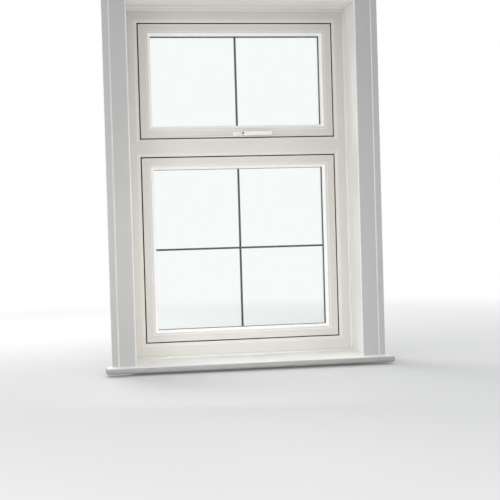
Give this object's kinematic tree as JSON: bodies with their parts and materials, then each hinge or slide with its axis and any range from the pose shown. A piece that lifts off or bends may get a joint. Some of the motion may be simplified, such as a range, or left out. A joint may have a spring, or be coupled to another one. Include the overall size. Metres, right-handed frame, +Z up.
{
  "type": "casement window",
  "caption": "Flush casement window with a top-hung fanlight over a fixed light, with linings, moulded architraves, window board and outside cill.",
  "frame": {"origin": "on the underside of the outside cill, midway across the window and midway through the 70 mm frame", "axes": "+X to the right as seen from the room, +Y outdoors, +Z up"},
  "size_m": [1.18, 0.415, 1.601],
  "materials": {
    "upvc": "satin white",
    "paint": "satin painted",
    "board": "satin painted",
    "gasket": "matt black",
    "glass": "clear",
    "spacer": "satin dark",
    "bar": "satin dark",
    "handle_white": "white powder coat",
    "steel": "satin",
    "zinc": "cast, dull",
    "packer": "matt grey",
    "lock_chrome": "polished"
  },
  "bodies": {
    "window_frame": {"board_trim": "upvc", "cill_end_caps": "upvc", "fixed_sash": "upvc", "fixed_sash_blocks": "packer", "fixed_sash_gasket": "gasket", "frame_screws": "steel", "head_architrave": "paint", "head_lining": "paint", "head_trim": "upvc", "left_architrave": "paint", "left_lining": "paint", "left_stay_track": "steel", "left_trim": "upvc", "lock_keeps": "zinc", "lower_bead_gasket": "gasket", "lower_frame_gasket": "gasket", "lower_glazing_bars": "bar", "lower_glazing_packers": "packer", "lower_inner_pane": "glass", "lower_outer_gasket": "gasket", "lower_outer_pane": "glass", "lower_rail_beads": "upvc", "lower_spacer": "spacer", "lower_stile_beads": "upvc", "outer_cill": "upvc", "outer_frame": "upvc", "right_architrave": "paint", "right_lining": "paint", "right_stay_track": "steel", "right_trim": "upvc", "upper_frame_gasket": "gasket", "window_board": "board"},
    "left_link": {"left_stay_link": "steel"},
    "right_link": {"right_stay_link": "steel"},
    "fanlight": {"fanlight_sash": "upvc", "fanlight_gasket": "gasket", "upper_inner_pane": "glass", "upper_outer_pane": "glass", "upper_spacer": "spacer", "upper_glazing_bars": "bar", "upper_bead_gasket": "gasket", "upper_outer_gasket": "gasket", "upper_glazing_packers": "packer", "upper_rail_beads": "upvc", "upper_stile_beads": "upvc", "left_stay_arm": "steel", "right_stay_arm": "steel", "stay_shoes": "packer", "sash_screws": "steel", "handle_screws": "steel", "espag_faceplate": "steel", "gearbox_case": "zinc", "handle_base": "handle_white"},
    "handle": {"handle_lever": "handle_white", "handle_spindle": "steel", "gearbox_pinion": "zinc"},
    "lock_rod": {"espag_rod": "steel"},
    "button": {"lock_button": "lock_chrome"}
  },
  "joints": [
    {"name": "left_link_pivot", "type": "hinge", "parent": "window_frame", "child": "left_link", "pos_m": [-0.4363, 0.009, 1.166], "axis": [-1, 0, 0], "range_deg": [0, 45]},
    {"name": "fanlight_pivot", "type": "hinge", "parent": "left_link", "child": "fanlight", "pos_m": [-0.4363, 0.009, 1.316], "axis": [1, 0, 0], "range_deg": [0, 90]},
    {"name": "right_link_pivot", "type": "hinge", "parent": "window_frame", "child": "right_link", "pos_m": [0.4363, 0.009, 1.166], "axis": [-1, 0, 0], "range_deg": [0, 45]},
    {"name": "handle_turn", "type": "hinge", "parent": "fanlight", "child": "handle", "pos_m": [0.016, -0.035, 0.981], "axis": [0, -1, 0], "range_deg": [0, 90]},
    {"name": "rod_slide", "type": "slide", "parent": "fanlight", "child": "lock_rod", "axis": [1, 0, 0], "range_m": [0, 0.01885]},
    {"name": "button_press", "type": "slide", "parent": "handle", "child": "button", "axis": [0, 1, 0], "range_m": [0, 0.003], "stiffness_N_per_m": 400}
  ],
  "couplings": [
    {"joint": "fanlight_pivot", "follows": "left_link_pivot", "ratio": 2},
    {"joint": "right_link_pivot", "follows": "left_link_pivot", "ratio": 1},
    {"joint": "rod_slide", "follows": "handle_turn", "m_per_rad": 0.012}
  ]
}
